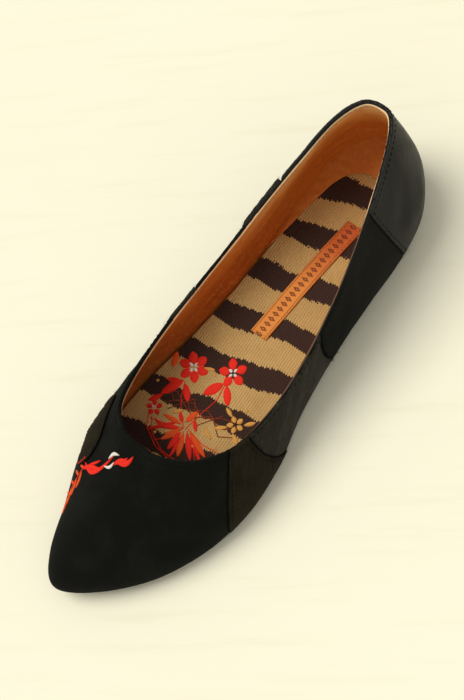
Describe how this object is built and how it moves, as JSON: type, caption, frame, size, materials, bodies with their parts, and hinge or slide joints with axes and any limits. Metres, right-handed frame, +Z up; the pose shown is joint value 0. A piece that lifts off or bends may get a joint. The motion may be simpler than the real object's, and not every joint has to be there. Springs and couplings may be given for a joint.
{
  "type": "embroidered shoe",
  "caption": "Left pointed flat shoe in patched suede and smooth leather, with a serrated side flap, tan leather lining, striped knit insole and low heel.",
  "frame": {"origin": "on the floor, at the middle of the heel's ground face", "axes": "+Z up, toe towards -Y, outer side of the left foot towards +X"},
  "size_m": [0.083, 0.2557, 0.0644],
  "materials": {
    "upper_suede": "matte black suede",
    "counter_leather": "smooth dark grey leather, soft sheen",
    "sole_leather": "dark stained leather",
    "lift_rubber": "matte black rubber",
    "insole_knit": "ribbed knit, beige and dark brown stripes",
    "tan_leather": "orange tan leather, slightly wrinkled",
    "thread": "embroidery thread"
  },
  "bodies": {
    "root": {"upper": "upper_suede", "outsole": "sole_leather", "heel_block": "sole_leather", "heel_top_lift": "lift_rubber", "insole": "insole_knit", "insole_strip": "tan_leather", "side_leaf": "upper_suede"}
  },
  "joints": []
}
